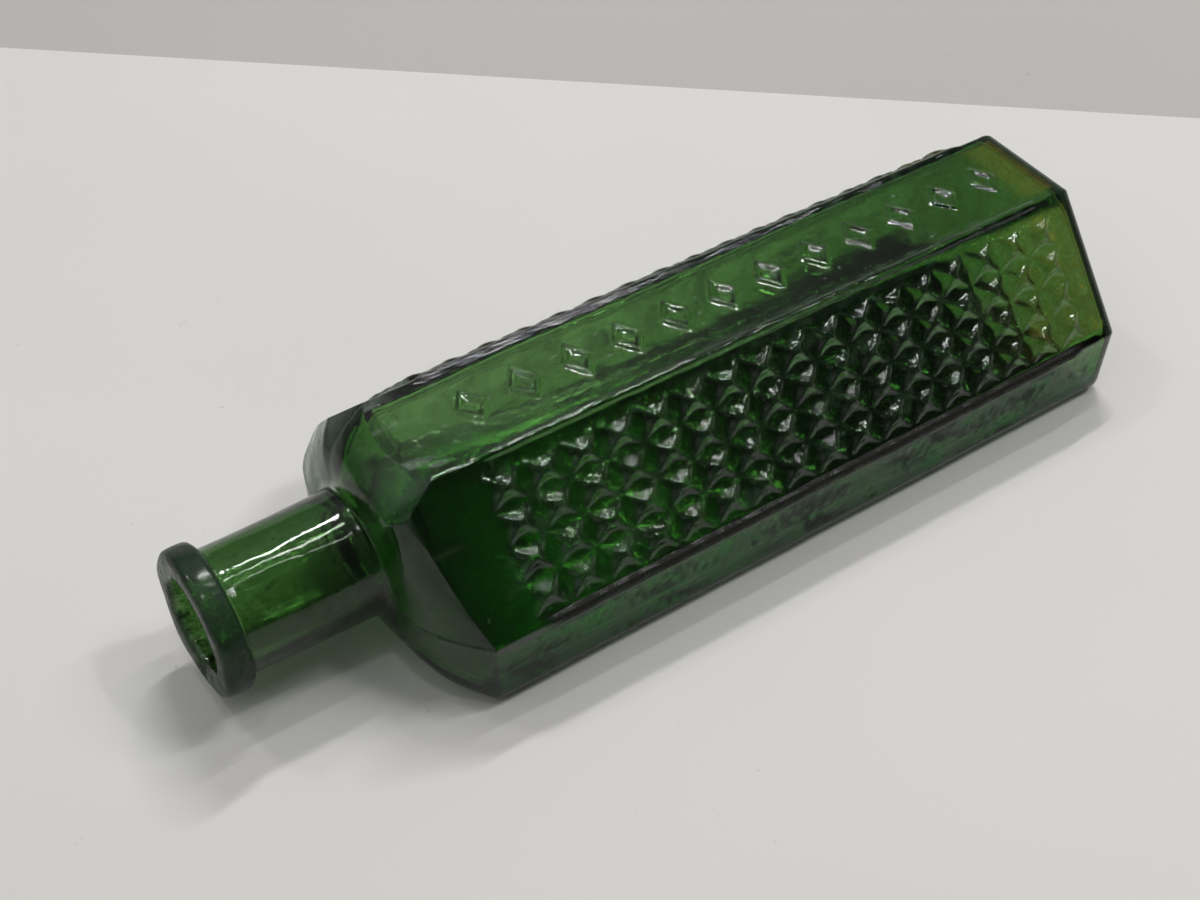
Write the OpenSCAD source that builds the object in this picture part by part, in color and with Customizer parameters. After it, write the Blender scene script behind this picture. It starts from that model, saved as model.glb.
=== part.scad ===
// Six-sided poison bottle in green glass, lying on its flat back with the mouth towards -X.
// Two star-moulded panels slope up from two low plain sides to a narrow front panel.
// Sections across the bottle are drawn as [y, z], with z = 0 on the flat back.

/* [Body] */
// Width across the flat back
body_w = 58; // [50:1:70]
// Depth from the flat back to the front panel
body_d = 36; // [32:0.5:42]
// Width of the front panel
front_w = 20.4; // [16:0.2:26]
// Height of the two plain sides
side_h = 14.7; // [12:0.1:18]
// Length from the foot to where the shoulder starts
body_l = 136; // [130:1:160]
// Thickness of the glass walls
wall_t = 3.2; // [2.4:0.1:4.2]
// Thickness of the glass in the base
base_t = 6; // [4.5:0.5:9]
// Radius of the rounded heel, and of the long edges along the back
heel_r = 3; // [1.5:0.5:4]
// Radius of the other four long edges
edge_r = 1; // [0.5:0.1:2]
// Radius of the corners inside the glass
inner_r = 4; // [2:0.5:5]
// Diameter of the hollow pushed up under the base
kick_d = 24; // [16:1:28]
// Depth of that hollow
kick_h = 0.9; // [0.4:0.1:1.5]

/* [Shoulder, neck and lip] */
// Length of the domed shoulder
shoulder_l = 9.5; // [7:0.5:14]
// Height of the neck's axis above the flat back
neck_z = 15.7; // [14:0.1:18]
// Length of the neck between the shoulder and the lip
neck_l = 23.5; // [15:0.5:35]
// Diameter of the neck at the shoulder
neck_foot_d = 21.8; // [21:0.1:24]
// Diameter of the neck under the lip
neck_top_d = 21.2; // [20.6:0.1:23]
// Diameter of the bore through the lip and neck
bore_d = 15.6; // [12:0.1:17]
// Diameter of the lip
lip_d = 24.8; // [24:0.1:28]
// Length of the lip along the neck
lip_l = 5; // [4:0.1:8]
// Radius of the lip's two outer edges
lip_r = 1.2; // [0.5:0.1:1.5]

/* [Stars] */
// Number of stars along each sloping panel
star_cols = 17; // [8:1:17]
// Number of stars across each sloping panel
star_rows = 4; // [2:1:4]
// Gap from the foot to the first column of stars
star_start = 8.4; // [7:0.1:12]
// Gap from the last column of stars to the shoulder
star_stop = 7.3; // [4:0.1:14]
// Spacing of the stars across the panel
row_pitch = 5.95; // [5.4:0.05:6]
// Length of a star from tip to tip
star_l = 5.7; // [4:0.1:6]
// Width of a star from tip to tip
star_w = 5.1; // [4:0.1:5.2]
// Width of a star between its hollow sides
star_waist = 2.2; // [1.4:0.1:3]
// Height of a star above its panel
star_h = 0.9; // [0.5:0.1:1.4]

/* [Ribs and front marks] */
// Diameter of the ribs beside the front panel
ridge_rib_d = 1.8; // [1.2:0.1:2.4]
// Diameter of the ribs along the plain sides
side_rib_d = 2.2; // [1.4:0.1:2.8]
// Height of each rib above the faces beside it
rib_proud = 0.4; // [0.2:0.05:0.6]
// Gap from the foot to the near end of the ribs
rib_start = 9; // [6:0.5:12]
// Gap from the far end of the ribs to the shoulder
rib_stop = 8; // [4:0.5:14]
// Number of plain lozenges along the front panel
mark_count = 12; // [6:1:12]
// Gap from the foot to the first lozenge, and from the last one to the shoulder
mark_gap = 10; // [8:0.5:16]
// Length of a lozenge along the bottle
mark_l = 6; // [4:0.1:7]
// Width of a lozenge across the panel
mark_w = 8.6; // [6:0.1:10]
// Width of the raised line that draws a lozenge
mark_line = 1.1; // [0.8:0.1:1.4]
// Height of that line above the panel
mark_h = 0.5; // [0.3:0.1:0.8]

/* [Hidden] */
$fn = 96;
glass = [0.07, 0.36, 0.08];
lip_glass = [0.05, 0.22, 0.08];
// How far raised work starts inside the wall, and how far a cut runs past a face
sunk = 0.7;
cut = 1;
// Segments in a rounded corner, around the neck and along the dome
corner_steps = 5;
dome_steps = 8;
// Most distance between two points of the sections that the dome starts from
dome_pitch = 4;
// Powers that make the shoulder's dome fuller than a quarter of an ellipse
dome_reach = 1.8;
dome_rise = 0.75;

total_l = body_l + shoulder_l + neck_l + lip_l;
shoulder_end = body_l + shoulder_l;
// Corners of the section, anticlockwise from the back's -Y corner
corners = [
    [-body_w / 2, 0], [body_w / 2, 0], [body_w / 2, side_h],
    [front_w / 2, body_d], [-front_w / 2, body_d], [-body_w / 2, side_h]
];
outer_radii = [heel_r, heel_r, edge_r, edge_r, edge_r, edge_r];
inner_radii = [for (c = corners) inner_r];
// Least radius left on an edge where the heel rounds under
least_r = 0.3;
outer = drawn_in(0);
inner = rounded(inset(corners, wall_t), inner_radii);
// The slope from the front panel's edge down to the plain side
slope_w = norm([body_w - front_w, 2 * (body_d - side_h)]) / 2;
slope_a = -atan2(body_d - side_h, (body_w - front_w) / 2);
// Spacings along the bottle that fill the length between the gaps
star_pitch = (body_l - star_start - star_stop - star_l) / (star_cols - 1);
mark_pitch = (body_l - 2 * mark_gap - mark_l) / (mark_count - 1);

function unit(v) = v / norm(v);
function wrap(a) = (a + 540) % 360 - 180;
// Corner i of the convex outline p, moved inwards until it is d from both its sides
function inset_corner(p, i, d) =
    let (n = len(p), u = unit(p[(i + n - 1) % n] - p[i]), v = unit(p[(i + 1) % n] - p[i]))
    p[i] + unit(u + v) * d / sin(acos(u * v) / 2);
function inset(p, d) = [for (i = [0 : len(p) - 1]) inset_corner(p, i, d)];
// Corner i of the outline p as an arc of radius r
function arc_corner(p, i, r) =
    let (
        n = len(p),
        u = unit(p[(i + n - 1) % n] - p[i]),
        v = unit(p[(i + 1) % n] - p[i]),
        middle = inset_corner(p, i, r),
        reach = r / tan(acos(u * v) / 2),
        first = p[i] + u * reach - middle,
        last = p[i] + v * reach - middle,
        a = atan2(first[1], first[0]),
        turn = wrap(atan2(last[1], last[0]) - a)
    )
    [for (k = [0 : corner_steps]) middle + r * [cos(a + turn * k / corner_steps), sin(a + turn * k / corner_steps)]];
function rounded(p, radii) = [for (i = [0 : len(p) - 1]) each arc_corner(p, i, radii[i])];
// The outer section with all its sides moved in by d
function drawn_in(d) = rounded(inset(corners, d), [for (r = outer_radii) max(r - d, least_r)]);
// The outline p with points no more than step apart, as the rings of the dome need them
function divided(p, step) = [
    for (i = [0 : len(p) - 1])
        let (q = p[(i + 1) % len(p)], n = ceil(norm(q - p[i]) / step))
        for (k = [0 : n - 1]) p[i] + (q - p[i]) * k / n
];
// The outline p drawn in towards a circle of radius r on the neck's axis; share 1 is p itself
function towards_neck(p, r, share) = [
    for (q = p) let (c = [0, neck_z], ring = c + unit(q - c) * r) ring + (q - ring) * share
];
// X of the plane that is d from the foot
function at(d) = total_l / 2 - d;
// The outline p in the plane that is d from the foot
function ring_at(p, d) = [for (q = p) [at(d), q[0], q[1]]];
// Rings of the dome that turns the outline p, d0 from the foot, into a circle of radius r
function dome(p, r, d0, l) = [
    for (k = [0 : dome_steps])
        let (a = 90 * k / dome_steps)
        ring_at(towards_neck(p, r, pow(max(cos(a), 0), dome_rise)), d0 + l * pow(sin(a), dome_reach))
];

// A solid through rings of equally many points, given from the foot towards the mouth
module loft(rings) {
    n = len(rings[0]);
    m = len(rings);
    polyhedron(
        points = [for (ring = rings) each ring],
        faces = [
            [for (i = [n - 1 : -1 : 0]) i],
            for (j = [0 : m - 2], i = [0 : n - 1])
                let (a = j * n + i, b = j * n + (i + 1) % n) each [[a, b, b + n], [a, b + n, a + n]],
            [for (i = [0 : n - 1]) (m - 1) * n + i]
        ]
    );
}

// Extrudes a section from d0 to d1, both measured from the foot
module along(d0, d1) {
    translate([at(d1), 0, 0])
        rotate([90, 0, 90])
            linear_extrude(d1 - d0)
                children();
}

// Turns a profile, drawn as [radius, distance from the foot], about the neck's axis
module turned(profile) {
    translate([at(0), 0, neck_z])
        rotate([0, -90, 0])
            rotate_extrude()
                polygon(profile);
}

// A rod along the bottle from d0 to d1, both measured from the foot
module rod(d, d0, d1, y, z) {
    translate([at(d1), y, z])
        rotate([0, 90, 0])
            cylinder(d = d, h = d1 - d0);
}

// Children drawn with X along the bottle, Y down the slope from the ridge and Z outwards
module on_slope(side) {
    mirror([0, side > 0 ? 0 : 1, 0])
        translate([0, front_w / 2, body_d])
            rotate([slope_a, 0, 0])
                children();
}

// A four-pointed star with hollow sides
module star() {
    w = star_waist / 2;
    side_x = [for (t = [-1 : 0.5 : 0.5]) [w + (star_l / 2 - w) * t * t, t * star_w / 2]];
    side_y = [for (t = [1 : -0.5 : -0.5]) [t * star_l / 2, w + (star_w / 2 - w) * t * t]];
    translate([0, 0, -sunk])
        linear_extrude(sunk + star_h)
            polygon(concat(side_x, side_y, -side_x, -side_y));
}

module star_panel() {
    for (i = [0 : star_cols - 1], j = [0 : star_rows - 1])
        translate([
            at(star_start + star_l / 2 + i * star_pitch),
            slope_w / 2 + (j - (star_rows - 1) / 2) * row_pitch,
            0
        ])
            star();
}

module lozenge(l, w) {
    polygon([[l / 2, 0], [0, w / 2], [-l / 2, 0], [0, -w / 2]]);
}

module front_marks() {
    for (i = [0 : mark_count - 1])
        translate([at(mark_gap + mark_l / 2 + i * mark_pitch), 0, body_d - sunk])
            linear_extrude(sunk + mark_h)
                difference() {
                    lozenge(mark_l, mark_w);
                    lozenge(mark_l - 2 * mark_line, mark_w - 2 * mark_line * mark_w / mark_l);
                }
}

module ribs() {
    for (i = [2 : 5]) {
        d = (i == 3 || i == 4) ? ridge_rib_d : side_rib_d;
        c = inset_corner(corners, i, d / 2 - rib_proud);
        rod(d, rib_start, body_l - rib_stop, c[0], c[1]);
    }
}

// Sub-parts, from the foot to the mouth

module base() {
    kick_r = (kick_d * kick_d / 4 + kick_h * kick_h) / (2 * kick_h);
    heel = [for (a = [90 : -30 : 0]) ring_at(drawn_in(heel_r * (1 - cos(a))), heel_r * (1 - sin(a)))];
    color(glass)
        difference() {
            loft(concat(heel, [ring_at(outer, base_t)]));
            translate([at(kick_h) + kick_r, 0, neck_z]) sphere(kick_r);
        }
}

module body() {
    color(glass) {
        difference() {
            union() {
                along(base_t, body_l) polygon(outer);
                ribs();
                for (side = [-1, 1]) on_slope(side) star_panel();
                front_marks();
            }
            along(base_t - cut, body_l + cut) polygon(inner);
        }
    }
}

module shoulder() {
    section = divided(inner, dome_pitch);
    bore = ring_at(towards_neck(section, bore_d / 2, 0), shoulder_end + cut);
    inside = dome(section, bore_d / 2, body_l, shoulder_l - wall_t);
    color(glass)
        difference() {
            loft(dome(divided(outer, dome_pitch), neck_foot_d / 2, body_l, shoulder_l));
            loft(concat([ring_at(section, body_l - cut)], inside, [bore]));
        }
}

module neck() {
    color(glass)
        turned([
            [bore_d / 2, shoulder_end],
            [neck_foot_d / 2, shoulder_end],
            [neck_top_d / 2, shoulder_end + neck_l],
            [bore_d / 2, shoulder_end + neck_l]
        ]);
}

module lip() {
    r = lip_d / 2 - lip_r;
    back = shoulder_end + neck_l + lip_r;
    front = total_l - lip_r;
    color(lip_glass)
        turned(concat(
            [[bore_d / 2, shoulder_end + neck_l]],
            [for (a = [-90 : 30 : 0]) [r + lip_r * cos(a), back + lip_r * sin(a)]],
            [for (a = [0 : 30 : 90]) [r + lip_r * cos(a), front + lip_r * sin(a)]],
            [[bore_d / 2, total_l]]
        ));
}

base();
body();
shoulder();
neck();
lip();
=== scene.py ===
"""Looks of the six-sided green glass poison bottle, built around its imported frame.

The glass is one closed skin: the outer surface with its stars, ribs and lozenges, the mouth, and the
inner surface behind them, so that light crosses each wall once. It replaces the five CAD nodes, whose
sizes it repeats. Lengths below are millimetres, and d is the distance from the foot.
"""

import math

import bmesh
import bpy
import numpy as np
from mathutils import Matrix


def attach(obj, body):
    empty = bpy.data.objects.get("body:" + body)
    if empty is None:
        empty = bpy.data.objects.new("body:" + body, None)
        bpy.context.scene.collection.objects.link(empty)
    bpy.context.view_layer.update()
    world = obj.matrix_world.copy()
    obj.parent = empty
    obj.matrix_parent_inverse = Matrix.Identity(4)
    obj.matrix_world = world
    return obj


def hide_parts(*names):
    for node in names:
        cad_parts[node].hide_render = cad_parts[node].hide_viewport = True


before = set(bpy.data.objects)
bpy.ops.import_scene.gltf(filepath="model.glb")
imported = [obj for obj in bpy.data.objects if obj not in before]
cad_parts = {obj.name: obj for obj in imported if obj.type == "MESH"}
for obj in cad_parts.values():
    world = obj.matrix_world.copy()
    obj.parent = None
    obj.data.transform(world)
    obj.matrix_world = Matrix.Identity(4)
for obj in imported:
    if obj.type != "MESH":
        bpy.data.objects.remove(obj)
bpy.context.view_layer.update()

# Sizes, as in part.scad
BODY_W, BODY_D, FRONT_W, SIDE_H = 58.0, 36.0, 20.4, 14.7
BODY_L, WALL, BASE_T, HEEL_R, EDGE_R, INNER_R = 136.0, 3.2, 6.0, 3.0, 1.0, 4.0
KICK_R, KICK_H = 12.0, 0.9
SHOULDER_L, NECK_Z, NECK_L = 9.5, 15.7, 23.5
NECK_FOOT_R, NECK_TOP_R, BORE_R = 10.9, 10.6, 7.8
LIP_R, LIP_L, LIP_ROUND = 12.4, 5.0, 1.2
STAR_COLS, STAR_ROWS, STAR_START, STAR_STOP = 17, 4, 8.4, 7.3
ROW_PITCH, STAR_L, STAR_W = 5.95, 5.7, 5.1
STAR_PITCH = (BODY_L - STAR_START - STAR_STOP - STAR_L) / (STAR_COLS - 1)
RIDGE_RIB, SIDE_RIB, PROUD, RIB_START, RIB_STOP = 1.8, 2.2, 0.4, 9.0, 8.0
MARKS, MARK_GAP, MARK_L, MARK_W, MARK_LINE = 12, 10.0, 6.0, 8.6, 1.1
MARK_PITCH = (BODY_L - 2 * MARK_GAP - MARK_L) / (MARKS - 1)
SHOULDER_END = BODY_L + SHOULDER_L
TOTAL = SHOULDER_END + NECK_L + LIP_L

# What only the looks have
STAR_H, MARK_H = 1.30, 0.36
FLOOR_T, FLOOR_ROUND = 2.0, 1.2  # the glass left under the inside's lowest point, and how its edge rounds
WALLS = (1.9, 2.4, 1.8, 1.6, 4.1, 3.0)  # the blown wall behind each panel, counted like the corners
SHOULDER_EXTRA = (0, 0.6, 0.6, 0, 2.8, 1.2)  # how much thicker it is where the shoulder begins
FOOT_EXTRA = (0, 0, 0, 0, -2.2, -0.6)  # and near the foot
FRONT_EXTRA = 1.8  # and how the front panel's wall grows from the mouth to the foot
ROW_SHIFT = 0.5
ALONG, ACROSS = 16, 16  # mesh rows in one star's cell, as many each way so that the arms lie along diagonals
RIM = 96  # points round the neck, the lip and the bore

CORNERS = np.array([
    [-BODY_W / 2, 0], [BODY_W / 2, 0], [BODY_W / 2, SIDE_H],
    [FRONT_W / 2, BODY_D], [-FRONT_W / 2, BODY_D], [-BODY_W / 2, SIDE_H],
])
AXIS = np.array([0, NECK_Z])


def unit(v):
    return v / np.maximum(np.linalg.norm(v, axis=-1, keepdims=True), 1e-9)


def smooth(t, lo=0.0, hi=1.0):
    t = np.clip((np.asarray(t, float) - lo) / (hi - lo), 0, 1)
    return t * t * (3 - 2 * t)


def waves(p, size, seed, count=28):
    """Smooth irregularity from about -1 to 1 over points p, with lumps of about size."""
    rng = np.random.default_rng(seed)
    k = unit(rng.normal(size=(count, 3))) * (2 * math.pi / size) * rng.uniform(0.5, 1.5, (count, 1))
    phase = rng.uniform(0, 2 * math.pi, count)
    return np.sin(p @ k.T + phase).sum(-1) / math.sqrt(count)


# The section's outline

def inset_corner(i, d):
    p = CORNERS
    u, v = unit(p[i - 1] - p[i]), unit(p[(i + 1) % 6] - p[i])
    return p[i] + unit(u + v) * d / math.sin(math.acos(float(u @ v)) / 2)


SLOPE = float(np.linalg.norm(CORNERS[3] - CORNERS[2]))
TOP_ROW = SLOPE / 2 + ROW_SHIFT - 1.5 * ROW_PITCH
EDGE_KEEP = [1.7, 1.45, 1.2, 0.95, 0.7]  # samples beside a ribbed corner, measured from it


def edge_samples():
    """For each edge from corner i to the next, the samples between its corner zones, from 0 to 1."""
    s = TOP_ROW - ROW_PITCH / 2 + np.arange(STAR_ROWS * ACROSS + 1) * ROW_PITCH / ACROSS
    s = s[(s > 1.9) & (s < SLOPE - 1.9)]
    down = (s - EDGE_KEEP[0]) / (SLOPE - 2 * EDGE_KEEP[0])
    even = lambda n: (np.arange(n) + 0.5) / n
    return [even(6), even(8), 1 - down[::-1], even(38), down, even(16)]


FRACTIONS = edge_samples()


def outline(inset):
    """The outer section drawn in by inset, as points and what each one lies on."""
    c = np.array([inset_corner(i, inset) for i in range(6)])
    points, panel, place = [], [], []
    arcs = []
    for i in range(6):
        r = max((HEEL_R if i < 2 else EDGE_R) - inset, 0.3)
        u, v = unit(c[i - 1] - c[i]), unit(c[(i + 1) % 6] - c[i])
        half = math.acos(float(u @ v)) / 2
        middle = c[i] + unit(u + v) * r / math.sin(half)
        a0 = math.atan2(*(c[i] + u * r / math.tan(half) - middle)[::-1])
        a1 = math.atan2(*(c[i] + v * r / math.tan(half) - middle)[::-1])
        turn = (a1 - a0 + math.pi) % (2 * math.pi) - math.pi
        a = a0 + turn * np.linspace(0, 1, 7 if i < 2 else 5)
        arc = middle + r * np.stack([np.cos(a), np.sin(a)], 1)
        keep = [] if i < 2 else EDGE_KEEP
        before = [c[i] + u * k for k in keep]
        after = [c[i] + v * k for k in keep[::-1]]
        arcs.append(np.array([*before, *arc, *after]))
    for i in range(6):
        start, end = arcs[i][-1], arcs[(i + 1) % 6][0]
        points += [arcs[i], start + (end - start) * FRACTIONS[i][:, None]]
        panel += [10 + i] * len(arcs[i]) + [i] * len(FRACTIONS[i])
    return np.concatenate(points), np.array(panel)


SECTION, PANEL = outline(0.0)
TO_NEXT = unit(np.roll(CORNERS, -1, 0) - CORNERS)
EDGE_NORMAL = np.stack([TO_NEXT[:, 1], -TO_NEXT[:, 0]], 1)


def section_normals(p):
    step = unit(np.roll(p, -1, 0) - p) + unit(p - np.roll(p, 1, 0))
    return unit(np.stack([step[:, 1], -step[:, 0]], 1))


NORMALS = section_normals(SECTION)
for side in range(6):
    NORMALS[PANEL == side] = EDGE_NORMAL[side]


def down_slope(p):
    """How far a point of the section lies down from the ridge, along the slope."""
    q = np.stack([np.abs(p[:, 0]), p[:, 1]], 1)
    return (q - CORNERS[3]) @ unit(CORNERS[2] - CORNERS[3])


def star_field(d, s, side):
    """Height from 0 to 1 of the stars at distances d from the foot and s down the slope, how near a point is to
    their arms, and which way each point's faces are best split.
    A star is what four round hollows leave between them, and its arms run out to the corners of its cell."""
    col = np.clip(np.floor((d - STAR_START + (STAR_PITCH - STAR_L) / 2) / STAR_PITCH), 0, STAR_COLS - 1)
    row = np.clip(np.floor((s - TOP_ROW) / ROW_PITCH + 0.5), 0, STAR_ROWS - 1)
    jitter = np.random.default_rng(11 if side > 0 else 12).normal(size=(STAR_COLS, STAR_ROWS, 2))
    j = jitter[col.astype(int), row.astype(int)]
    u = (d - STAR_START - STAR_L / 2 - col * STAR_PITCH) / (STAR_PITCH / 2)
    v = (s - TOP_ROW - row * ROW_PITCH) / (ROW_PITCH / 2)
    x, y = np.abs(u), np.abs(v)
    hollow_x, hollow_y = (1 - x) ** 2 + y**2, x**2 + (1 - y) ** 2
    near = np.clip(np.minimum(hollow_x, hollow_y), 0, 1)
    reach = np.maximum(x, y)
    fall = 1 - 0.90 * smooth(reach, -0.12, 1.12)
    height = (near / ((1 - reach) ** 2 + reach**2)) ** (1.45 + 0.1 * j[..., 0]) * fall * (1.08 + 0.07 * j[..., 1])
    height *= smooth(1.0 - reach, -0.02, 0.10)
    top, soft = 0.90, 0.16
    height = np.where(height > top - soft, top - soft * np.exp(-(height - top + soft) / soft), height)
    crest = np.exp(-((hollow_x - hollow_y) / 0.06) ** 2) * smooth(1 - reach, 0, 0.15)
    return height, crest, u * v > 0


def mark_field(d, y):
    """Height from 0 to 1 of the lozenges' raised lines on the front panel."""
    i = np.clip(np.round((d - MARK_GAP - MARK_L / 2) / MARK_PITCH), 0, MARKS - 1)
    u = np.abs(d - MARK_GAP - MARK_L / 2 - i * MARK_PITCH)
    scale = 1 / math.hypot(2 / MARK_L, 2 / MARK_W)
    gap = (1 - u * 2 / MARK_L - np.abs(y) * 2 / MARK_W) * scale
    return smooth(1 - np.abs(gap - MARK_LINE / 2) / (MARK_LINE / 2 + 0.25), 0, 1)


class Skin:
    """Collects the rings of a closed surface and the faces between them."""

    def __init__(self):
        self.points, self.faces, self.count = [], [], 0
        self.film, self.tone = [], []

    def ring(self, p, film=0.0, tone=(0.1, 0.12, 0.1)):
        n = len(p)
        self.points.append(p)
        self.film.append(np.broadcast_to(np.asarray(film, float), (n,)))
        self.tone.append(np.broadcast_to(np.asarray(tone, float), (n, 3)))
        self.count += n
        return np.arange(self.count - n, self.count)

    def join(self, a, b, split=None):
        """Faces between rings a and b, which may have different numbers of points. split has 1 where a face is cut
        from a to the next point of b, -1 where it is cut the other way, and 0 where it stays whole."""
        if len(a) == len(b):
            a1, b1 = np.roll(a, -1), np.roll(b, -1)
            split = np.zeros(len(a)) if split is None else split
            whole, up, down = split == 0, split > 0, split < 0
            self.faces += np.stack([a, b, b1, a1], 1)[whole].tolist()
            self.faces += np.stack([a, b, b1], 1)[up].tolist() + np.stack([a, b1, a1], 1)[up].tolist()
            self.faces += np.stack([a, b, a1], 1)[down].tolist() + np.stack([b, b1, a1], 1)[down].tolist()
            return
        i = j = 0
        while i < len(a) or j < len(b):
            if j >= len(b) or (i < len(a) and (i + 1) / len(a) <= (j + 1) / len(b)):
                self.faces.append([int(a[i % len(a)]), int(b[j % len(b)]), int(a[(i + 1) % len(a)])])
                i += 1
            else:
                self.faces.append([int(a[i % len(a)]), int(b[j % len(b)]), int(b[(j + 1) % len(b)])])
                j += 1

    def fan(self, a, centre):
        c = self.ring(np.array([centre]))[0]
        self.faces += [[int(p), int(c), int(q)] for p, q in zip(a, np.roll(a, -1))]


def in_plane(yz, d):
    return np.stack([np.broadcast_to(TOTAL / 2 - np.asarray(d, float), (len(yz),)), yz[:, 0], yz[:, 1]], 1)


def towards_neck(p, r, share):
    circle = AXIS + unit(p - AXIS) * r
    return circle + (p - circle) * share


def circle(r, d, n=RIM):
    """A ring round the neck's axis. It starts at the section's first direction, so that rings of unlike counts meet."""
    start = math.atan2(*(SECTION[0] - AXIS)[::-1])
    a = start + np.arange(n) * 2 * math.pi / n
    return in_plane(AXIS + r * np.stack([np.cos(a), np.sin(a)], 1), d)


GREY_GREEN, DARK, CRUST, PALE = (0.06, 0.12, 0.06), (0.010, 0.018, 0.010), (0.011, 0.010, 0.009), (0.20, 0.26, 0.21)
# The foot's tone is painted light: the yellow-green of light passing through the thin glass at the foot.
STAIN_AND_LIGHT, FOOT_LIGHT_TONE, SIDE_TONE = (0.75, 0.50, 0.03), (0.34, 0.32, 0.02), (0.035, 0.24, 0.045)
LIP_TONE, NECK_TONE = (0.012, 0.03, 0.014), (0.004, 0.02, 0.004)


def dome_rise(yz):
    """How far beyond the body's end each point's panel stays flat before the round shoulder cuts it."""
    y, z = np.abs(yz[:, 0]), yz[:, 1]
    s = np.clip(down_slope(yz), 0, SLOPE)
    front = 0.8 + 2.7 * np.clip(1 - (y / (FRONT_W / 2)) ** 2, 0, 1)
    slope = 0.9 + 5.2 * (1 - (s / SLOPE) ** 1.6) * smooth(s, 0, 4)
    return np.where(z < SIDE_H, 0.2 + 0.7 * z / SIDE_H, np.where(y < FRONT_W / 2, front, slope))


def film_on(d, yz, crest):
    """How much dust, haze or wear lies on the outer glass at a ring's points, and its tone. Part of it is painted:
    shade on the back panel, reflection on the far side and light near the foot.
    """
    n = len(yz)
    p = in_plane(yz, d)
    film = np.full(n, 0.01)
    tone = np.tile(GREY_GREEN, (n, 1)).astype(float)
    near_side = (PANEL == 1) | (PANEL == 5)
    blotch = smooth(waves(p, 9, 31) + 0.5 * waves(p, 3.1, 32), -0.3, 0.9)
    film[near_side] = 0.20 + 0.24 * blotch[near_side]
    dark = smooth(waves(p * [0.6, 1, 1], 7, 33) + 0.8 * waves(p, 2.0, 34), 0.35, 0.75)
    film[near_side] += 0.25 * dark[near_side]
    tone[near_side] = (1 - dark[near_side, None]) * np.array(SIDE_TONE) + dark[near_side, None] * np.array(DARK)
    slopes = (PANEL == 2) | (PANEL == 4)
    film_coat = 0.005 + 0.18 * smooth(waves(p, 8, 35) + 0.6 * waves(p, 2.6, 36), 0.6, 1.6)
    # Painted light: a yellow-green layer near the foot stands in for the light that passes through the thin glass
    # there.
    foot_light = smooth(34 - d, 0, 26)
    film[slopes] = np.clip(film_coat + 0.26 * crest + 0.09 * foot_light * (1 - crest), 0, 0.7)[slopes]
    tone[slopes] = (np.array(GREY_GREEN) + (np.array(FOOT_LIGHT_TONE) - np.array(GREY_GREEN)) * (foot_light * (1 - crest))[:, None])[slopes]
    front = PANEL == 3
    near_mouth = smooth(d, 118, 134)
    film[front] = 0.005 + 0.35 * near_mouth * smooth(waves(p, 5, 37) + 0.7 * waves(p, 1.6, 39), 0.4, 1.4)[front]
    tone[front] = PALE
    # Painted light: the front panel's foot end gets the same yellow-green layer.
    if d < 12:
        film[front] += 0.10 * smooth(12 - d, 0, 4)
        tone[front] = FOOT_LIGHT_TONE
    # Painted shade: a dark layer on the back panel, growing towards the foot, stands in for the light that doesn't
    # reach under the bottle there.
    film[PANEL == 0] = 0.03 + 0.60 * smooth(105 - d, 0, 70)
    tone[PANEL == 0] = DARK
    rib = smooth(d, RIB_START - 1, RIB_START + 4) * smooth(BODY_L - RIB_STOP + 1 - d, 0, 4)
    for zone in (12, 15):
        at = PANEL == zone
        film[at] = 0.92 * rib * smooth(1.6 - np.abs(np.arange(at.sum()) - (at.sum() - 1) / 2) / 4.2, 0, 0.6)
        tone[at] = CRUST
    worn = smooth(100 - d, 0, 25)
    for zone in (13, 14):
        at = PANEL == zone
        film[at] = 0.01 + worn * (0.12 + 0.25 * rib * smooth(waves(p, 5, 38), 0.1, 0.9)[at])
        tone[at] = np.array(GREY_GREEN) * 0.6
    # Partly haze and partly painted reflection: a pale layer on the far side next to the shoulder stands in for the
    # reflection of the light beyond the bottle.
    far_end = (p[:, 1] > 8) & (PANEL != 0)
    film[far_end] = np.maximum(film, 0.30 * smooth(d, 128, 136) * smooth(waves(p, 5, 54) + 0.5 * waves(p, 1.8, 55), -0.8, 0.8))[far_end]
    if d > 132:
        tone[far_end] = PALE
    return film, tone


def outer_ring(d):
    """The outer section at d with its ribs, stars, lozenges and slight unevenness, and its film."""
    p = SECTION.copy()
    rib = smooth(d, RIB_START - 0.6, RIB_START + 2.4) * smooth(BODY_L - RIB_STOP + 0.6 - d, 0, 3)
    for i, size in ((2, SIDE_RIB), (3, RIDGE_RIB), (4, RIDGE_RIB), (5, SIDE_RIB)):
        at = PANEL == 10 + i
        c = inset_corner(i, size / 2 - PROUD)
        out = p[at] - c
        r = np.linalg.norm(out, axis=1)
        wobble = size / 2 + 0.06 * waves(in_plane(p[at], d), 6, 40 + i)
        p[at] = c + out * (r + rib * np.maximum(wobble - r, 0))[:, None] / r[:, None]
    lift = np.zeros(len(p))
    crest = np.zeros(len(p))
    in_stars = float(STAR_START - 0.72 < d < BODY_L - STAR_STOP + 0.72)
    for i, side in ((2, 1), (4, -1)):
        at = PANEL == i
        h, ridge, _ = star_field(np.full(at.sum(), d), down_slope(SECTION[at]), side)
        lift[at] = in_stars * STAR_H * h
        crest[at] = in_stars * ridge
    at = PANEL == 3
    lift[at] = MARK_H * mark_field(np.full(at.sum(), d), SECTION[at][:, 0])
    q = in_plane(SECTION, d)
    uneven = 0.045 * waves(q, 19, 1) + 0.014 * waves(q, 5, 2)
    uneven *= np.where(PANEL == 0, 0.0, 1.0) * smooth(d, 3, 9)
    p = p + NORMALS * (lift + uneven - 0.04)[:, None]
    p[:, 1] = np.maximum(p[:, 1], 0)
    film, tone = film_on(d, SECTION, crest)
    return p, film, tone


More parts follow.
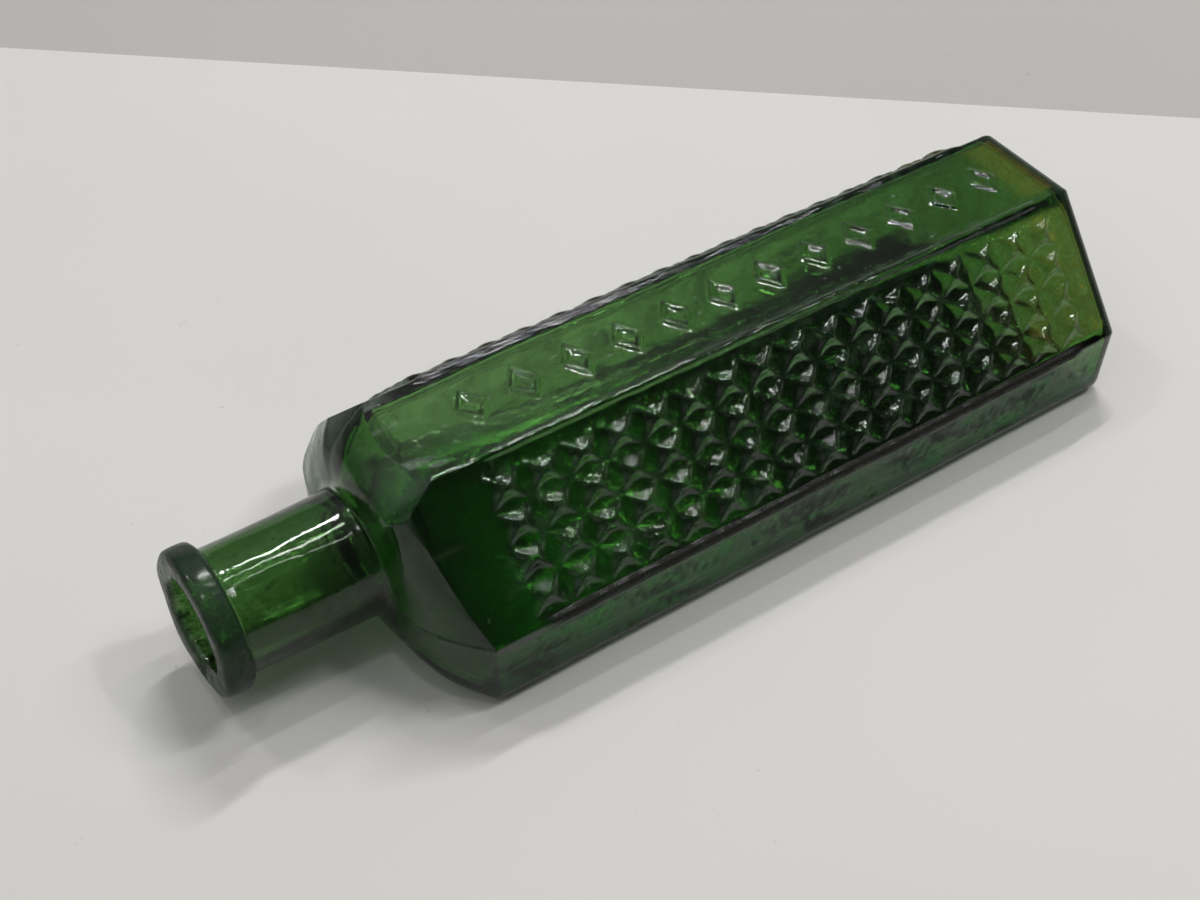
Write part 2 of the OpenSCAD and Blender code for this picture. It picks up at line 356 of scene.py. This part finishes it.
def split_of(d):
    """How the faces at d are cut, so that the cuts run along the stars' arms and the lozenges' lines."""
    middle = (SECTION + np.roll(SECTION, -1, 0)) / 2
    split = np.zeros(len(SECTION))
    for i, side in ((2, 1), (4, -1)):
        at = PANEL == i
        same = star_field(np.full(at.sum(), d), down_slope(middle[at]), side)[2]
        split[at] = np.where(same, 1, -1) * side
    at = PANEL == 3
    i = np.clip(np.round((d - MARK_GAP - MARK_L / 2) / MARK_PITCH), 0, MARKS - 1)
    split[at] = np.where((d - MARK_GAP - MARK_L / 2 - i * MARK_PITCH) * middle[at][:, 0] > 0, 1, -1)
    return split


def build_glass():
    skin = Skin()
    # The foot: the pushed-up hollow, the flat it stands on, and the heel
    last = None
    foot, _ = outline(HEEL_R)
    for r, depth in ((3, 0.86), (6, 0.68), (9, 0.4), (KICK_R, 0.02)):
        ring = skin.ring(in_plane(AXIS + unit(foot - AXIS) * r, depth), 0.1)
        if last is None:
            skin.fan(ring[::-1], (TOTAL / 2 - KICK_H, *AXIS))
        else:
            skin.join(last, ring)
        last = ring
    for a in (90, 75, 60, 45, 30, 15, 0):
        a = math.radians(a)
        p, _ = outline(HEEL_R * (1 - math.cos(a)))
        ring = skin.ring(in_plane(p, HEEL_R * (1 - math.sin(a))), 0.30, np.array(GREY_GREEN) * 0.7)
        skin.join(last, ring)
        last = ring
    start = STAR_START - (STAR_PITCH - STAR_L) / 2
    stars = start + np.arange(STAR_COLS * ALONG + 1) * STAR_PITCH / ALONG
    before = HEEL_R
    for d in [4.0, 5.0, 6.0, 7.0, *stars, 130.2, 131.4, 132.8, 134.2, 135.2, 135.7, BODY_L]:
        p, film, tone = outer_ring(d)
        ring = skin.ring(in_plane(p, d), film, tone)
        skin.join(last, ring, split_of((before + d) / 2))
        last, before = ring, d
    # The shoulder's dome, the neck and the lip
    edge, film, tone = outer_ring(BODY_L)
    rise = dome_rise(SECTION)
    seam = np.exp(-((SECTION[:, 1] - SIDE_H) / 0.5) ** 2)
    for share in (0.35, 0.65, 0.85, 0.95):
        ring = skin.ring(in_plane(edge, BODY_L + rise * share), film, tone)
        skin.join(last, ring)
        last = ring
    for k in range(17):
        a = math.radians(90 * k / 17.3)
        d = BODY_L + rise + (SHOULDER_L - rise) * math.sin(a) ** 1.8
        p = towards_neck(edge, NECK_FOOT_R, math.cos(a) ** 0.75 - 0.03 * (1 - math.exp(-8 * math.sin(a) ** 1.8)))
        q = in_plane(p, d)
        q[:, 0] += 0.12 * waves(q, 8, 3) * smooth(k, 0, 4)
        overlay = 0.01 + 0.08 * smooth(waves(q, 11, 50) + 0.5 * waves(q, 3, 51), 0.4, 1.3)
        # Partly haze and partly painted reflection: the dome's far side gets a pale layer that stands in for the
        # reflection of the light beyond the bottle.
        beyond = smooth(q[:, 1], 4, 16)[:, None]
        overlay = overlay + beyond[:, 0] * (0.24 + 0.40 * smooth(waves(q, 5, 54) + 0.5 * waves(q, 1.8, 55), -0.8, 0.8))
        shade = np.array(GREY_GREEN) * (1 - beyond) + np.array(PALE) * beyond
        shade = shade * (1 - seam[:, None]) + np.array(DARK) * seam[:, None]
        ring = skin.ring(q, np.maximum(overlay, 0.95 * seam), shade)
        skin.join(last, ring)
        last = ring
    top = SHOULDER_END + NECK_L
    for d in [SHOULDER_END + 0.35, *np.linspace(SHOULDER_END + 1.0, top - 0.6, 22), top - 0.15]:
        t = (d - SHOULDER_END) / NECK_L
        r = NECK_FOOT_R + (NECK_TOP_R - NECK_FOOT_R) * t
        r += 0.5 * math.exp(-(d - SHOULDER_END) / 0.8) + 0.35 * math.exp(-(top - d) / 0.4)
        q = circle(r, d)
        out = q - [0, 0, NECK_Z]
        out[:, 0] = 0
        q += unit(out) * (0.035 * waves(q * [0.35, 1, 1], 5, 5) + 0.03 * waves(q, 9, 6))[:, None]
        # Partly haze and partly painted reflection: the neck's lower side gets more of a lighter layer, which stands in
        # for the reflection on that side.
        low = smooth(-(q[:, 2] - NECK_Z) / NECK_TOP_R, 0.15, 0.8)
        overlay = 0.14 + 0.08 * low + 0.06 * smooth(waves(q, 7, 52), 0.3, 1.3)
        ring = skin.ring(q, overlay, np.array(NECK_TONE) + 0.06 * low[:, None])
        skin.join(last, ring)
        last = ring
    flat = LIP_R - LIP_ROUND
    profile = [(flat - 0.5, top)]
    profile += [(flat + LIP_ROUND * math.cos(a), top + LIP_ROUND * (1 + math.sin(a))) for a in np.radians([-90, -65, -40, -20, 0])]
    profile += [(LIP_R + 0.03, top + 1.9), (LIP_R + 0.05, top + LIP_L / 2), (LIP_R + 0.03, TOTAL - 1.9)]
    profile += [(flat + LIP_ROUND * math.cos(a), TOTAL - LIP_ROUND * (1 - math.sin(a))) for a in np.radians([0, 20, 40, 65, 90])]
    profile += [(10.2, TOTAL + 0.02), (9.2, TOTAL), (8.5, TOTAL - 0.08), (8.05, TOTAL - 0.35), (BORE_R, TOTAL - 0.9)]
    for r, d in profile:
        q = circle(r, d)
        around = np.arctan2(q[:, 2] - NECK_Z, q[:, 1])
        q[:, 0] += 0.10 * waves(q, 9, 7) * smooth(r, 9, 12)
        out = q - [0, 0, NECK_Z]
        out[:, 0] = 0
        q += unit(out) * (0.08 * waves(q, 8, 8))[:, None]
        chip = np.exp(-(((around + 1.75 + math.pi) % (2 * math.pi) - math.pi) / 0.10) ** 2)
        inner_edge = math.exp(-((r - 8.6) / 1.3) ** 2) * (d > TOTAL - 2)
        q[:, 0] += 0.9 * chip * inner_edge
        side = smooth(r, LIP_R - 1.2, LIP_R - 0.2) * (top - 0.1 < d < TOTAL - 0.3)
        overlay = 0.02 + 0.62 * side + 0.10 * smooth(waves(q, 4, 53), 0.0, 1.2) + 0.55 * (d > TOTAL - 0.5) * (side < 0.5)
        ring = skin.ring(q, overlay, LIP_TONE)
        skin.join(last, ring)
        last = ring
    # The inner surface, from the bore to the inside of the base
    for d in np.linspace(TOTAL - 2.2, BODY_L + SHOULDER_L - WALL + 1.4, 16):
        q = circle(BORE_R, d)
        out = q - [0, 0, NECK_Z]
        out[:, 0] = 0
        q += unit(out) * (0.12 * waves(q * [0.5, 1, 1], 9, 9) * smooth(TOTAL - d, 3, 8))[:, None]
        ring = skin.ring(q, 0.14 * smooth(TOTAL - d, 4, 9), NECK_TONE)
        skin.join(last, ring)
        last = ring
    inside = inner_outline(0, BODY_L)
    for k in range(14, 0, -1):
        a = math.radians(90 * k / 15)
        d = BODY_L + (SHOULDER_L - WALL) * math.sin(a) ** 1.8
        last = inner_ring(skin, last, towards_neck(inside, BORE_R, math.cos(a) ** 0.75), d)
    for d in np.linspace(BODY_L, FLOOR_T + FLOOR_ROUND, 58):
        last = inner_ring(skin, last, inner_outline(0, d), d)
    # Partly stain and partly painted light: the yellow layer inside the base also stands in for the light through the
    # thin glass at the foot.
    for a in (22, 45, 68, 90):
        a = math.radians(a)
        inset = FLOOR_ROUND * (1 - math.cos(a))
        last = inner_ring(skin, last, inner_outline(inset, 0), FLOOR_T + FLOOR_ROUND * (1 - math.sin(a)), 0.4 * math.sin(a))
    for share in (0.93, 0.86, 0.75, 0.5, 0.25):
        p = AXIS + (inner_outline(FLOOR_ROUND, 0) - AXIS) * share
        last = inner_ring(skin, last, p, FLOOR_T + 1.6 * (1 - share), 0.4)
    skin.fan(last, (TOTAL / 2 - FLOOR_T - 1.8, *AXIS))
    return skin


def inner_outline(inset, d):
    """The inner section at d, drawn in by inset from where the wall behind each panel leaves it."""
    c = []
    wall = np.array(WALLS) + np.array(SHOULDER_EXTRA) * smooth(d, 108, BODY_L) + np.array(FOOT_EXTRA) * smooth(50 - d, 0, 40) + inset
    wall[3] += FRONT_EXTRA * smooth(115 - d, 0, 95)
    for i in range(6):
        a, b = EDGE_NORMAL[i - 1], EDGE_NORMAL[i]
        depth = [CORNERS[i] @ a - wall[i - 1], CORNERS[i] @ b - wall[i]]
        c.append(np.linalg.solve(np.array([a, b]), np.array(depth)))
    c = np.array(c)
    points = []
    for i in range(6):
        u, v = unit(c[i - 1] - c[i]), unit(c[(i + 1) % 6] - c[i])
        half = math.acos(float(u @ v)) / 2
        r = min(INNER_R, 0.9 * np.linalg.norm(c[i] - c[i - 1]) / 2 * math.tan(half))
        middle = c[i] + unit(u + v) * r / math.sin(half)
        a0 = math.atan2(*(c[i] + u * r / math.tan(half) - middle)[::-1])
        a1 = math.atan2(*(c[i] + v * r / math.tan(half) - middle)[::-1])
        turn = (a1 - a0 + math.pi) % (2 * math.pi) - math.pi
        a = a0 + turn * np.linspace(0, 1, 6)
        points.append(middle + r * np.stack([np.cos(a), np.sin(a)], 1))
    out = []
    for i in range(6):
        start, end = points[i][-1], points[(i + 1) % 6][0]
        out += [points[i], start + (end - start) * (np.arange(1, 11) / 11)[:, None]]
    return np.concatenate(out)


def inner_ring(skin, last, p, d, stain_and_light=0.0):
    q = in_plane(p, d)
    out = np.concatenate([np.zeros((len(p), 1)), section_normals(p)], 1)
    thick = 0.10 * waves(q * [0.6, 1, 1], 26, 20) + 0.025 * waves(q, 9, 21)
    ring = skin.ring(q + out * thick[:, None], stain_and_light, STAIN_AND_LIGHT)
    skin.join(last, ring)
    return ring


def mesh_object(name, skin):
    mesh = bpy.data.meshes.new(name)
    mesh.from_pydata((np.concatenate(skin.points) / 1000).tolist(), [], skin.faces)
    film = mesh.attributes.new("film", "FLOAT", "POINT")
    film.data.foreach_set("value", np.concatenate(skin.film).astype(np.float32))
    tone = mesh.attributes.new("tone", "FLOAT_COLOR", "POINT")
    rgba = np.concatenate([np.concatenate(skin.tone), np.ones((skin.count, 1))], 1)
    tone.data.foreach_set("color", rgba.astype(np.float32).ravel())
    bm = bmesh.new()
    bm.from_mesh(mesh)
    bmesh.ops.recalc_face_normals(bm, faces=bm.faces)
    bm.to_mesh(mesh)
    bm.free()
    mesh.shade_smooth()
    obj = bpy.data.objects.new(name, mesh)
    bpy.context.scene.collection.objects.link(obj)
    return obj


# Materials

def new_material(name):
    m = bpy.data.materials.new(name)
    m.use_nodes = True
    nt = m.node_tree
    nt.nodes.clear()
    return m, nt, nt.nodes.new("ShaderNodeOutputMaterial")


def node(nt, kind, inputs=None, **settings):
    n = nt.nodes.new(kind)
    for key, value in settings.items():
        setattr(n, key, value)
    for key, value in (inputs or {}).items():
        if isinstance(value, bpy.types.NodeSocket):
            nt.links.new(value, n.inputs[key])
        else:
            n.inputs[key].default_value = value
    return n


def mathn(nt, operation, a, b=0.0, clamp=False):
    return node(nt, "ShaderNodeMath", {0: a, 1: b}, operation=operation, use_clamp=clamp).outputs[0]


def ranged(nt, value, lo, hi, out_lo=0.0, out_hi=1.0):
    n = node(nt, "ShaderNodeMapRange", {"Value": value, "From Min": lo, "From Max": hi, "To Min": out_lo, "To Max": out_hi})
    return n.outputs["Result"]


def glass_material():
    m, nt, out = new_material("green_glass")
    where = node(nt, "ShaderNodeTexCoord").outputs["Object"]
    film = node(nt, "ShaderNodeAttribute", attribute_name="film")
    tone = node(nt, "ShaderNodeAttribute", attribute_name="tone")
    grime = node(nt, "ShaderNodeTexNoise", {"Vector": where, "Scale": 420.0, "Detail": 5.0, "Roughness": 0.62}).outputs["Fac"]
    fine = node(nt, "ShaderNodeTexNoise", {"Vector": where, "Scale": 2600.0, "Detail": 3.0, "Roughness": 0.6}).outputs["Fac"]
    patch = mathn(nt, "ADD", mathn(nt, "MULTIPLY", grime, 1.3), mathn(nt, "MULTIPLY", fine, 0.7))
    patch = ranged(nt, patch, 0.62, 1.38)
    share = mathn(nt, "MULTIPLY", film.outputs["Fac"], mathn(nt, "ADD", mathn(nt, "MULTIPLY", patch, 1.3), 0.35), clamp=True)
    seeds = node(nt, "ShaderNodeTexNoise", {"Vector": where, "Scale": 900.0, "Detail": 1.0}).outputs["Fac"]
    share = mathn(nt, "ADD", share, ranged(nt, seeds, 0.72, 0.77, 0.0, 0.45), clamp=True)
    rough = ranged(nt, film.outputs["Fac"], 0.4, 0.9, 0.015, 0.25)
    low = node(nt, "ShaderNodeTexNoise", {"Vector": where, "Scale": 300.0, "Detail": 2.0}).outputs["Fac"]
    bump = node(nt, "ShaderNodeBump", {"Height": low, "Strength": 0.10, "Distance": 0.0006})
    bump2 = node(nt, "ShaderNodeBump", {"Height": fine, "Strength": 0.05, "Distance": 0.0002, "Normal": bump.outputs[0]})
    glass = node(nt, "ShaderNodeBsdfPrincipled", {
        "Base Color": (0.97, 1.0, 0.97, 1), "Roughness": rough, "IOR": 1.52, "Transmission Weight": 1.0,
        "Normal": bump2.outputs[0],
    })
    # This shader shades the whole film: dust, haze and wear, and also its painted shade, painted reflection and painted
    # light.
    film_coat = node(nt, "ShaderNodeBsdfPrincipled", {
        "Base Color": tone.outputs["Color"], "Roughness": 0.62, "Specular IOR Level": 0.2, "Normal": bump2.outputs[0],
    })
    mix = node(nt, "ShaderNodeMixShader", {0: share, 1: glass.outputs[0], 2: film_coat.outputs[0]})
    nt.links.new(mix.outputs[0], out.inputs["Surface"])
    body = node(nt, "ShaderNodeVolumeAbsorption", {"Color": (0.27, 0.61, 0.08, 1), "Density": 560.0})
    nt.links.new(body.outputs[0], out.inputs["Volume"])
    return m


def paper_material(name, colour):
    m, nt, out = new_material(name)
    where = node(nt, "ShaderNodeTexCoord").outputs["Object"]
    cloud = node(nt, "ShaderNodeTexNoise", {"Vector": where, "Scale": 6.0, "Detail": 3.0}).outputs["Fac"]
    specks = node(nt, "ShaderNodeTexNoise", {"Vector": where, "Scale": 240.0, "Detail": 4.0, "Roughness": 0.7}).outputs["Fac"]
    speck = ranged(nt, specks, 0.69, 0.75)
    level = ranged(nt, cloud, 0.3, 0.7, 0.97, 1.03)
    level = mathn(nt, "SUBTRACT", level, mathn(nt, "MULTIPLY", speck, 0.25))
    tint = node(nt, "ShaderNodeVectorMath", {0: colour, "Scale": level}, operation="SCALE").outputs[0]
    bsdf = node(nt, "ShaderNodeBsdfPrincipled", {"Base Color": tint, "Roughness": 0.7, "Specular IOR Level": 0.25})
    nt.links.new(bsdf.outputs[0], out.inputs["Surface"])
    return m


glass = mesh_object("bottle_glass", build_glass())
glass.data.materials.append(glass_material())
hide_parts("base", "body", "shoulder", "neck", "lip")
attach(glass, "root")


# The table, its far edge and the backdrop, the camera and the light

def camera():
    data = bpy.data.cameras.new("camera")
    data.lens, data.sensor_width, data.clip_start, data.clip_end = 52.26, 36.0, 0.01, 20.0
    cam = bpy.data.objects.new("camera", data)
    bpy.context.scene.collection.objects.link(cam)
    right, down, ahead = (0.8210, -0.5701, 0.0330), (-0.3880, -0.5990, -0.7005), (0.4190, 0.5620, -0.7130)
    cam.matrix_world = Matrix([
        [right[0], -down[0], -ahead[0], -0.1368],
        [right[1], -down[1], -ahead[1], -0.1694],
        [right[2], -down[2], -ahead[2], 0.2270],
        [0, 0, 0, 1],
    ])
    bpy.context.scene.camera = cam
    return cam


def plate(name, corners, material):
    mesh = bpy.data.meshes.new(name)
    mesh.from_pydata(corners, [], [tuple(range(len(corners)))])
    obj = bpy.data.objects.new(name, mesh)
    bpy.context.scene.collection.objects.link(obj)
    mesh.materials.append(material)
    return obj


def on_floor(px, py):
    """The floor's point under a pixel of the 1200 x 900 photograph."""
    f = 52.26 / 36 * 1200
    u, v = (px - 600) / f, (py - 450) / f
    right, down, ahead = np.array((0.8210, -0.5701, 0.0330)), np.array((-0.3880, -0.5990, -0.7005)), np.array((0.4190, 0.5620, -0.7130))
    ray = ahead + u * right + v * down
    return np.array((-0.1368, -0.1694, 0.2270)) - ray * 0.2270 / ray[2]


def area_lamp(name, place, target, size, watts, colour=(1, 1, 1)):
    data = bpy.data.lights.new(name, "AREA")
    data.shape, data.size, data.size_y, data.energy, data.color = "RECTANGLE", size[0], size[1], watts, colour
    lamp = bpy.data.objects.new(name, data)
    bpy.context.scene.collection.objects.link(lamp)
    back = np.array(place, float) - np.array(target, float)
    z = back / np.linalg.norm(back)
    x = unit(np.cross((0, 1.0, 0), z))
    y = np.cross(z, x)
    lamp.matrix_world = Matrix([[x[i], y[i], z[i], place[i]] for i in range(3)] + [[0, 0, 0, 1]])
    return lamp


camera()
left, right = on_floor(0, 47), on_floor(1200, 118)
along = unit(right - left)
left, right = left - along * 3, right + along * 3
away = np.array([-along[1], along[0], 0.0])
paper = paper_material("paper", (0.70, 0.685, 0.665))
far = paper_material("backdrop", (0.54, 0.53, 0.505))
low = -0.00008
plate("floor", [(*(left - away * 4)[:2], low), (*(right - away * 4)[:2], low), (*right[:2], low), (*left[:2], low)], paper)
plate("backdrop", [(*left[:2], low), (*right[:2], low), (*(right + away * 0.6)[:2], 0.25), (*(left + away * 0.6)[:2], 0.25)], far)

area_lamp("key", (0.45, 0.63, 1.285), (0, 0, 0), (0.50, 0.05), 6.8)
area_lamp("second", (0.38, 0.21, 1.16), (0, 0, 0), (0.50, 0.03), 1.7)
area_lamp("third", (0.38, -0.17, 1.17), (0, 0, 0), (0.50, 0.02), 0.7)
area_lamp("spark", (0.60, -0.25, 1.05), (-0.02, 0, 0), (0.34, 0.03), 1.6)
area_lamp("spark_across", (0.45, -0.34, 1.12), (-0.02, 0, 0), (0.03, 0.30), 1.5)
area_lamp("far", (-0.40, 0.65, 1.05), (0, 0, 0), (0.12, 0.12), 1.2)
area_lamp("over", (-0.15, -0.12, 1.28), (0, 0, 0), (0.10, 0.10), 0.8)


def room_light():
    """A dim room with a light wall beyond the mouth and a fainter one behind the table."""
    world = bpy.data.worlds.new("room")
    bpy.context.scene.world = world
    world.use_nodes = True
    nt = world.node_tree
    way = node(nt, "ShaderNodeTexCoord").outputs["Generated"]
    level = 0.045
    for towards, strength, power in (((-0.7, 0.1, 0.7), 0.65, 4.0), ((0.15, 0.6, 0.78), 0.35, 8.0)):
        lean = node(nt, "ShaderNodeVectorMath", {0: way, 1: towards}, operation="DOT_PRODUCT").outputs["Value"]
        lean = mathn(nt, "POWER", mathn(nt, "MAXIMUM", lean, 0.0), power)
        level = mathn(nt, "ADD", mathn(nt, "MULTIPLY", lean, strength), level)
    nt.nodes["Background"].inputs["Color"].default_value = (1, 1, 1, 1)
    nt.links.new(level, nt.nodes["Background"].inputs["Strength"])


room_light()
bpy.context.scene.view_settings.view_transform = "Standard"
